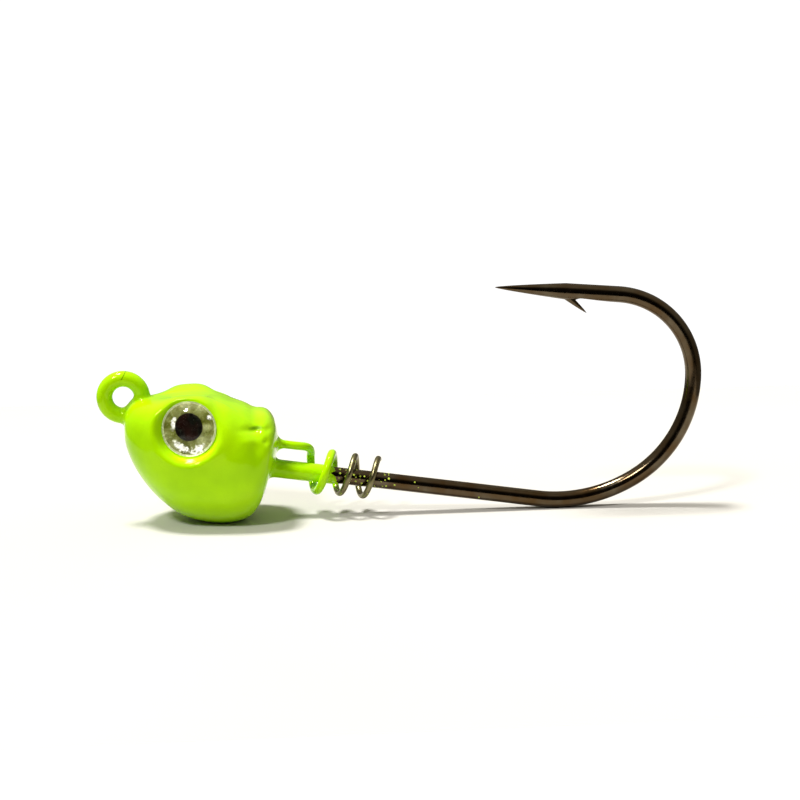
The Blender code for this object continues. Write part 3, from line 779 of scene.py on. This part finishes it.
def nickel_look(has_path):
    """Black nickel on the hook. With a path, its polish marks run along the wire."""
    look = Look("black_nickel" if has_path else "black_nickel_inner", metallic=1.0)
    patches = look.noise(0.35, 3.0, 0.6)
    colour = look.ramp(
        patches, (0.32, (0.080, 0.046, 0.018)), (0.55, BLACK_NICKEL), (0.75, (0.130, 0.106, 0.070)),
    )
    rough = look.remap(look.noise(1.3, 3.0), 0.3, 0.7, 0.12, 0.20)
    if has_path:
        along = look.math("MULTIPLY", look.attribute("way_along"), 0.35)
        around = look.attribute("way_around")
        streaks = look.combine(
            along, look.math("MULTIPLY", look.math("COSINE", around), 5.0),
            look.math("MULTIPLY", look.math("SINE", around), 5.0),
        )
        lines = look.noise(2.2, 3.0, 0.6, streaks)
        look.bump(lines, 0.22, 0.02)
        x = look.from_front()
        fade = look.remap(x, 26.0, 44.0, 1.0, 0.0)
        clumps = look.remap(look.noise(0.40, 2.0), 0.42, 0.58, 0.0, 1.0)
        density = look.math("MULTIPLY", look.math("MULTIPLY", fade, clumps), 0.85)
        close = look.remap(x, 26.0, 31.0, 0.85, 0.0)
        density = look.math("ADD", density, close)
        behind = look.math("LESS_THAN", x, 46.0)
        specks = look.math("MULTIPLY", look.dots(2.6, density, 0.34), behind)
        colour = look.mix(specks, colour, OVERSPRAY)
        look.set("Metallic", look.math("SUBTRACT", 1.0, specks))
        rough = look.math("MAXIMUM", rough, look.math("MULTIPLY", specks, 0.45))
    else:
        look.bump(look.noise(3.0, 3.0), 0.2, 0.02)
    look.set("Base Color", colour)
    look.set("Roughness", rough)
    return look.mat


def keeper_look():
    look = Look("keeper_steel", metallic=1.0)
    tone = look.ramp(
        look.noise(0.9, 3.0, 0.6), (0.30, (0.150, 0.130, 0.062)), (0.55, (0.235, 0.210, 0.110)),
        (0.80, (0.340, 0.315, 0.190)),
    )
    turns = look.attribute("turns")
    density = look.remap(turns, 1.3, 3.2, 0.55, 0.12)
    specks = look.dots(3.0, density, 0.36)
    look.set("Base Color", look.mix(specks, tone, (0.42, 0.50, 0.07)))
    look.set("Metallic", look.math("SUBTRACT", 1.0, specks))
    rough = look.remap(look.noise(2.0, 3.0), 0.3, 0.7, 0.26, 0.40)
    look.set("Roughness", look.math("MAXIMUM", rough, look.math("MULTIPLY", specks, 0.5)))
    streaks = look.combine(
        look.math("MULTIPLY", look.attribute("way_along"), 0.5),
        look.math("MULTIPLY", look.math("COSINE", look.attribute("way_around")), 3.0),
        look.math("MULTIPLY", look.math("SINE", look.attribute("way_around")), 3.0),
    )
    look.bump(look.noise(2.0, 3.0, 0.6, streaks), 0.25, 0.02)
    return look.mat


def lead_look():
    look = Look("cast_lead", metallic=1.0)
    look.set("Base Color", look.ramp(
        look.noise(0.6, 4.0), (0.3, (0.20, 0.21, 0.23)), (0.7, (0.36, 0.37, 0.39)),
    ))
    look.set("Roughness", look.remap(look.noise(1.4, 3.0), 0.3, 0.7, 0.45, 0.65))
    look.bump(look.noise(2.5, 4.0), 0.4, 0.05)
    return look.mat


def glue_look():
    look = Look("eye_glue", roughness=0.5)
    look.set("Base Color", look.ramp(
        look.noise(1.2, 3.0), (0.3, (0.62, 0.58, 0.46)), (0.7, (0.78, 0.75, 0.66)),
    ))
    look.set("Roughness", look.remap(look.noise(2.0, 2.0), 0.3, 0.7, 0.4, 0.6))
    look.bump(look.noise(2.0, 3.0), 0.3, 0.03)
    return look.mat


def foil_look():
    """Silver foil with an olive sheen, broad soft folds, painted highlight patches and a pale border."""
    look = Look("iris_foil", metallic=0.35)
    angle = look.attribute("around")
    radius = look.attribute("out")
    folds = look.combine(
        look.math("MULTIPLY", look.math("COSINE", angle), 1.3),
        look.math("MULTIPLY", look.math("SINE", angle), 1.3),
        look.math("MULTIPLY", radius, 0.25),
    )
    tone = look.noise(1.3, 2.0, 0.5, folds)
    colour = look.ramp(
        tone, (0.30, (0.075, 0.085, 0.004)), (0.45, (0.13, 0.145, 0.018)), (0.58, (0.23, 0.25, 0.07)),
        (0.72, (0.40, 0.43, 0.19)),
    )
    grain = look.noise(2.4, 3.0, 0.6)
    # painted highlight: the foil's colour pushed towards white in these patches
    painted_highlight = look.remap(look.math("MULTIPLY", look.attribute("painted_highlight"),
                                  look.remap(grain, 0.3, 0.6, 0.35, 1.3)), 0.30, 0.62, 0.0, 1.0, True)
    colour = look.mix(painted_highlight, colour, (1.0, 1.0, 0.95))
    border = look.ramp(look.math("DIVIDE", radius, EYE_R), (0.90, (0, 0, 0)), (0.925, (1, 1, 1)),
                       (0.945, (0.1, 0.1, 0.1)), (0.965, (0.8, 0.8, 0.8)))
    colour = look.mix(border, colour, (0.72, 0.76, 0.46))
    look.set("Base Color", colour)
    look.set("Roughness", look.remap(grain, 0.3, 0.7, 0.16, 0.34))
    look.bump(tone, 0.5, 0.10)
    return look.mat


def pupil_look():
    look = Look("pupil_ink", specular_ior_level=0.12)
    look.set("Base Color", look.ramp(
        look.noise(0.9, 2.0), (0.35, (0.002, 0.003, 0.002)), (0.75, (0.012, 0.003, 0.002)),
    ))
    look.set("Roughness", look.remap(look.noise(2.0, 2.0), 0.3, 0.7, 0.2, 0.32))
    look.bump(look.noise(4.0, 2.0), 0.1, 0.01)
    return look.mat


def resin_look():
    """Clear resin that lets lamps through to the foil."""
    look = Look("clear_resin", ior=1.32, transmission_weight=1.0, specular_ior_level=0.20)
    look.set("Base Color", look.ramp(
        look.noise(0.5, 2.0), (0.3, (0.93, 0.95, 0.90)), (0.7, (1.0, 1.0, 0.99)),
    ))
    look.set("Roughness", look.remap(look.noise(1.5, 2.0), 0.3, 0.7, 0.01, 0.035))
    look.bump(look.noise(0.8, 2.0), 0.06, 0.03)
    clear = look.add("ShaderNodeBsdfTransparent")
    path = look.add("ShaderNodeLightPath")
    either = look.add("ShaderNodeMixShader")
    look.link(path.outputs["Is Shadow Ray"], either.inputs[0])
    look.link(look.shader.outputs[0], either.inputs[1])
    look.link(clear.outputs[0], either.inputs[2])
    look.link(either.outputs[0], look.tree.nodes["Material Output"].inputs["Surface"])
    return look.mat


# ---------------------------------------------------------------- hook and keeper


def build_hook(mat):
    rows, radii = hook_path()
    centre = np.stack([rows[:, 0], np.zeros(len(rows)), rows[:, 1]], axis=1)
    verts, faces, along, around = swept(centre, radii, HOOK_SIDES)
    # the scoop that the barb was raised from, on the inside of the point leg behind the barb
    tip = centre[-1]
    leg = np.array((math.cos(LEG_DIRECTION), 0, math.sin(LEG_DIRECTION)))
    inwards = np.array((-leg[2], 0, leg[0]))
    from_tip = (tip - verts) @ leg
    inner = (verts - tip) @ inwards
    place = (from_tip - BARB_FROM_TIP - SCOOP_SETBACK) / SCOOP_LENGTH
    hollow = np.where((place > 0) & (place < 1), np.clip(1 - place, 0, 1) ** 1.3, 0)
    hollow *= np.clip(place / 0.06, 0, 1) * (np.abs(inner) < 2 * WIRE_R)
    limit = WIRE_R - SCOOP_DEPTH * hollow
    cut = np.where(hollow > 0, np.maximum(inner - limit, 0), 0)
    verts = verts - cut[:, None] * inwards
    # the barb, a round tapered spike leaning back from the wire
    root = tip - leg * (BARB_FROM_TIP - BARB_ROOT_AHEAD) + inwards * BARB_ROOT_OFFSET
    way = -leg * math.cos(BARB_ANGLE) + inwards * math.sin(BARB_ANGLE)
    length = BARB_LENGTH + BARB_BURIED
    shares = [i / BARB_STEPS for i in range(BARB_STEPS + 1)]
    places = np.array([root + way * length * i / BARB_STEPS for i in range(BARB_STEPS + 1)])
    sizes = np.array([BARB_ROOT_R * (1 - share) ** BARB_POWER + BARB_TIP_R for share in shares])
    b_verts, b_faces, b_along, b_around = swept(places, sizes, BARB_SIDES)
    offset = len(verts)
    faces = faces + [tuple(i + offset for i in face) for face in b_faces]
    hook = new_piece("hook_wire", np.concatenate([verts, b_verts]), faces,
                     ("hook",), mat, 40)
    point_attribute(hook, "way_along", np.concatenate([along, b_along]))
    point_attribute(hook, "way_around", np.concatenate([around, b_around]))
    return hook


def build_keeper(mat, points, turns):
    radii = np.full(len(points), KEEPER_R)
    verts, faces, along, around = swept(points, radii, KEEPER_SIDES)
    keeper = new_piece("keeper_spring", verts, faces, ("keeper_wire",), mat, 50)
    point_attribute(keeper, "way_along", along)
    point_attribute(keeper, "way_around", around)
    every = np.concatenate([np.repeat(turns, KEEPER_SIDES), turns[:1], turns[-1:]])
    point_attribute(keeper, "turns", every)
    return keeper


# ---------------------------------------------------------------- eyes


def turned(profile, sides):
    """A closed body turned round its own Z from (radius, height), from the axis to the axis."""
    profile = np.asarray(profile, float)
    inner = profile[1:-1]
    angles = np.arange(sides) * 2 * math.pi / sides
    rings = [np.stack([r * np.cos(angles), r * np.sin(angles), np.full(sides, z)], axis=1)
             for r, z in inner]
    verts = np.concatenate(rings + [[(0, 0, profile[0][1])], [(0, 0, profile[-1][1])]])
    faces = []
    n = len(inner)
    for i in range(n - 1):
        for k in range(sides):
            m = (k + 1) % sides
            faces.append((i * sides + k, (i + 1) * sides + k, (i + 1) * sides + m, i * sides + m))
    top, bottom, last = n * sides, n * sides + 1, (n - 1) * sides
    for k in range(sides):
        m = (k + 1) % sides
        faces.append((top, k, m))
        faces.append((bottom, last + m, last + k))
    return verts, faces, np.hypot(verts[:, 0], verts[:, 1]), np.arctan2(verts[:, 1], verts[:, 0])


def in_seat(side, verts):
    matrix = np.array(eye_axes(side))
    return verts @ matrix[:3, :3].T + matrix[:3, 3]


FOIL_LOW = 0.12
FOIL_TOP = 0.24
DOME_LOW = 0.25
SIDES = 128


# Painted highlights on the foil, patches coloured near white: (direction from the front of the eye,
# width, distance out, depth, strength)
FOIL_PAINTED_HIGHLIGHTS = (
    (-114, 0.40, 2.10, 0.36, 0.78),
    (-65, 0.30, 2.35, 0.40, 0.8),
    (172, 0.26, 1.72, 0.22, 1.0),
    (150, 0.16, 1.85, 0.20, 0.8),
    (30, 0.12, 2.45, 0.35, 0.55),
    (-20, 0.10, 2.70, 0.30, 0.45),
)


def foil_shape():
    """A thin disc whose face is pressed into shallow folds outside the pupil."""
    steps = 30
    edge = EYE_R - 0.05
    profile = [(0, FOIL_TOP)]
    profile += [(edge * (i / steps), FOIL_TOP) for i in range(1, steps + 1)]
    profile += [(edge, FOIL_LOW), (0, FOIL_LOW)]
    verts, faces, radius, angle = turned(profile, SIDES)
    top = verts[:, 2] > FOIL_TOP - 1e-6
    rng = np.random.default_rng(11)
    folds = np.zeros(len(verts))
    for count in (5, 9, 14, 23):
        phase = rng.random() * 2 * math.pi
        twist = rng.uniform(-0.5, 0.5)
        folds += np.abs(np.sin((angle + twist * radius) * count / 2 + phase)) / 4
    outside = np.clip((radius - PUPIL_R + 0.1) / 0.3, 0, 1) * np.clip((edge - radius) / 0.1, 0, 1)
    verts[:, 2] -= np.where(top, 0.045 * folds * outside, 0)
    return verts, faces, radius, angle


def dome_shape():
    edge = DOME_LOW + DOME_EDGE
    rise = DOME_HEIGHT - DOME_EDGE
    ball = (EYE_R**2 + rise**2) / (2 * rise)
    half = math.asin(EYE_R / ball)
    profile = [(0, edge + rise)]
    for i in range(1, 25):
        a = half * i / 24
        profile.append((ball * math.sin(a), edge + rise - ball * (1 - math.cos(a))))
    profile += [(EYE_R + 0.005, edge - 0.03), (EYE_R, DOME_LOW + 0.04), (EYE_R - 0.04, DOME_LOW)]
    pocket = DOME_LOW + 0.06
    inner = PUPIL_R + 0.03
    profile += [(inner, DOME_LOW), (inner, pocket), (0, pocket)]
    verts, faces, radius, _ = turned(profile, SIDES)
    verts[(verts[:, 2] <= pocket + 1e-6) & (radius <= inner + 1e-6), 1] += PUPIL_RISE
    return verts, faces


def build_eyes(foil_mat, pupil_mat, resin_mat):
    for side, word in ((-1, "left"), (1, "right")):
        verts, faces, radius, angle = foil_shape()
        foil = new_piece(f"{word}_iris_foil", in_seat(side, verts), faces,
                         (f"{word}_eye_foil",), foil_mat, 35)
        point_attribute(foil, "around", angle)
        point_attribute(foil, "out", radius)
        # painted highlights: foil patches coloured near white, mostly under the pupil and in front of it
        painted_highlight = np.zeros(len(angle))
        for lean, wide, out, deep, height in FOIL_PAINTED_HIGHLIGHTS:
            turn = math.radians(lean if side < 0 else 180 - lean)
            away = np.abs((angle - turn + math.pi) % (2 * math.pi) - math.pi)
            painted_highlight = np.maximum(painted_highlight, height * bell(away, wide) * bell(radius - out, deep))
        point_attribute(foil, "painted_highlight", painted_highlight)
        rounded = [(0, 0.30), (PUPIL_R - 0.02, 0.30), (PUPIL_R, 0.285), (PUPIL_R, 0.25), (0, 0.25)]
        verts, faces, *_ = turned(rounded, SIDES)
        verts[:, 1] += PUPIL_RISE
        new_piece(f"{word}_pupil_disc", in_seat(side, verts), faces,
                  (f"{word}_eye_pupil",), pupil_mat, 35)
        verts, faces = dome_shape()
        new_piece(f"{word}_clear_dome", in_seat(side, verts), faces,
                  (f"{word}_eye_dome",), resin_mat, 35)


# ---------------------------------------------------------------- build

keeper_points, keeper_turns = keeper_path()
painted_skin(paint_look(), (keeper_points, keeper_turns))
build_hook(nickel_look(True))
build_keeper(keeper_look(), keeper_points, keeper_turns)
build_eyes(foil_look(), pupil_look(), resin_look())


def dress(node, mat):
    """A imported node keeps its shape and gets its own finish."""
    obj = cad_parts[node]
    obj.data.materials.clear()
    obj.data.materials.append(mat)


dress("head_casting", lead_look())
dress("hook_eye", nickel_look(False))
glue = glue_look()
dress("left_eye_adhesive", glue)
dress("right_eye_adhesive", glue)

# ---------------------------------------------------------------- floor, light and camera

FLOOR_SIZE = 0.14
FLOOR_DROP = 0.00001


def build_floor():
    mesh = bpy.data.meshes.new("studio_floor")
    half = FLOOR_SIZE / 2
    z = CAD_LOW.z - FLOOR_DROP
    mesh.from_pydata([(-half, -half, z), (half, -half, z), (half, half, z), (-half, half, z)],
                     [], [(0, 1, 2, 3)])
    obj = bpy.data.objects.new("studio_floor", mesh)
    bpy.context.scene.collection.objects.link(obj)
    look = Look("pale_floor", roughness=0.9, specular_ior_level=0.0)
    look.set("Base Color", look.ramp(look.noise(0.02, 2.0), (0.3, (0.57, 0.557, 0.532)),
                                     (0.7, (0.59, 0.577, 0.552))))
    mesh.materials.append(look.mat)


def aimed(location, target):
    return (Vector(target) - Vector(location)).to_track_quat("-Z", "Y").to_euler()


def soft_light(name, direction, spread, strength, colour):
    """A distant round lamp of this angular size, shining from this direction."""
    data = bpy.data.lights.new(name, "SUN")
    data.angle = spread
    data.energy = strength
    data.color = colour
    obj = bpy.data.objects.new(name, data)
    obj.location = Vector(direction).normalized()
    obj.rotation_euler = aimed(obj.location, (0, 0, 0))
    bpy.context.scene.collection.objects.link(obj)


VIEW_TURN = math.radians(5)
VIEW_HEIGHT = math.radians(11)
VIEW_ROLL = math.radians(-0.612)
TO_CAMERA = Vector((
    -math.sin(VIEW_TURN) * math.cos(VIEW_HEIGHT),
    -math.cos(VIEW_TURN) * math.cos(VIEW_HEIGHT),
    math.sin(VIEW_HEIGHT),
))


def build_world():
    """A warm dome, brighter overhead and dim on the camera's side; the camera itself sees white."""
    world = bpy.data.worlds.new("studio")
    bpy.context.scene.world = world
    world.use_nodes = True
    tree = world.node_tree
    tree.nodes.clear()
    coords = tree.nodes.new("ShaderNodeTexCoord")
    facing = tree.nodes.new("ShaderNodeVectorMath")
    facing.operation = "DOT_PRODUCT"
    facing.inputs[1].default_value = TO_CAMERA
    split = tree.nodes.new("ShaderNodeSeparateXYZ")

    def ramp(stops):
        node = tree.nodes.new("ShaderNodeValToRGB")
        node.color_ramp.interpolation = "EASE"
        for element, (place, colour) in zip(node.color_ramp.elements, stops):
            element.position = place
            element.color = (*colour, 1)
        return node

    height = ramp(((0.0, (0.20, 0.185, 0.15)), (1.0, (0.55, 0.52, 0.43))))
    front = ramp(((0.45, (1.0, 1.0, 1.0)), (0.85, (0.06, 0.055, 0.045))))
    both = tree.nodes.new("ShaderNodeMix")
    both.data_type = "RGBA"
    both.blend_type = "MULTIPLY"
    both.inputs[0].default_value = 1.0
    light = tree.nodes.new("ShaderNodeBackground")
    seen = tree.nodes.new("ShaderNodeBackground")
    seen.inputs[0].default_value = (1.0, 1.0, 1.0, 1)
    seen.inputs[1].default_value = 1.1
    path = tree.nodes.new("ShaderNodeLightPath")
    either = tree.nodes.new("ShaderNodeMixShader")
    out = tree.nodes.new("ShaderNodeOutputWorld")
    links = tree.links
    links.new(coords.outputs["Generated"], facing.inputs[0])
    links.new(facing.outputs["Value"], front.inputs[0])
    links.new(coords.outputs["Generated"], split.inputs[0])
    links.new(split.outputs["Z"], height.inputs[0])
    links.new(height.outputs[0], both.inputs[6])
    links.new(front.outputs[0], both.inputs[7])
    links.new(both.outputs[2], light.inputs[0])
    links.new(path.outputs["Is Camera Ray"], either.inputs[0])
    links.new(light.outputs[0], either.inputs[1])
    links.new(seen.outputs[0], either.inputs[2])
    links.new(either.outputs[0], out.inputs[0])


CAMERA_DISTANCE = 0.220
CAMERA_AIM = Vector((-0.00035, 0.0, 0.01298))
CAMERA_LENS = 88.11


def build_camera():
    right = Vector((0, 0, 1)).cross(TO_CAMERA).normalized()
    up = TO_CAMERA.cross(right)
    across = right * math.cos(VIEW_ROLL) + up * math.sin(VIEW_ROLL)
    upwards = up * math.cos(VIEW_ROLL) - right * math.sin(VIEW_ROLL)
    data = bpy.data.cameras.new("studio_camera")
    data.sensor_width = 36.0
    data.lens = CAMERA_LENS
    data.clip_start = 0.001
    data.clip_end = 50.0
    camera = bpy.data.objects.new("studio_camera", data)
    place = TO_CAMERA * CAMERA_DISTANCE + CAMERA_AIM
    camera.matrix_world = Matrix((
        (across.x, upwards.x, TO_CAMERA.x, place.x),
        (across.y, upwards.y, TO_CAMERA.y, place.y),
        (across.z, upwards.z, TO_CAMERA.z, place.z),
        (0, 0, 0, 1),
    ))
    bpy.context.scene.collection.objects.link(camera)
    bpy.context.scene.camera = camera


build_floor()
build_world()
FRONT_LIGHT_WAY = (-0.407, -0.503, 0.761)
TOP_LIGHT_WAY = (-0.26, 0.12, 1.0)
soft_light("front_light", FRONT_LIGHT_WAY, math.radians(10), 1.7, (1.0, 0.98, 0.95))
soft_light("top_light", TOP_LIGHT_WAY, math.radians(12), 4.0, (1.0, 0.99, 0.95))
build_camera()
bpy.context.scene.view_settings.view_transform = "Standard"
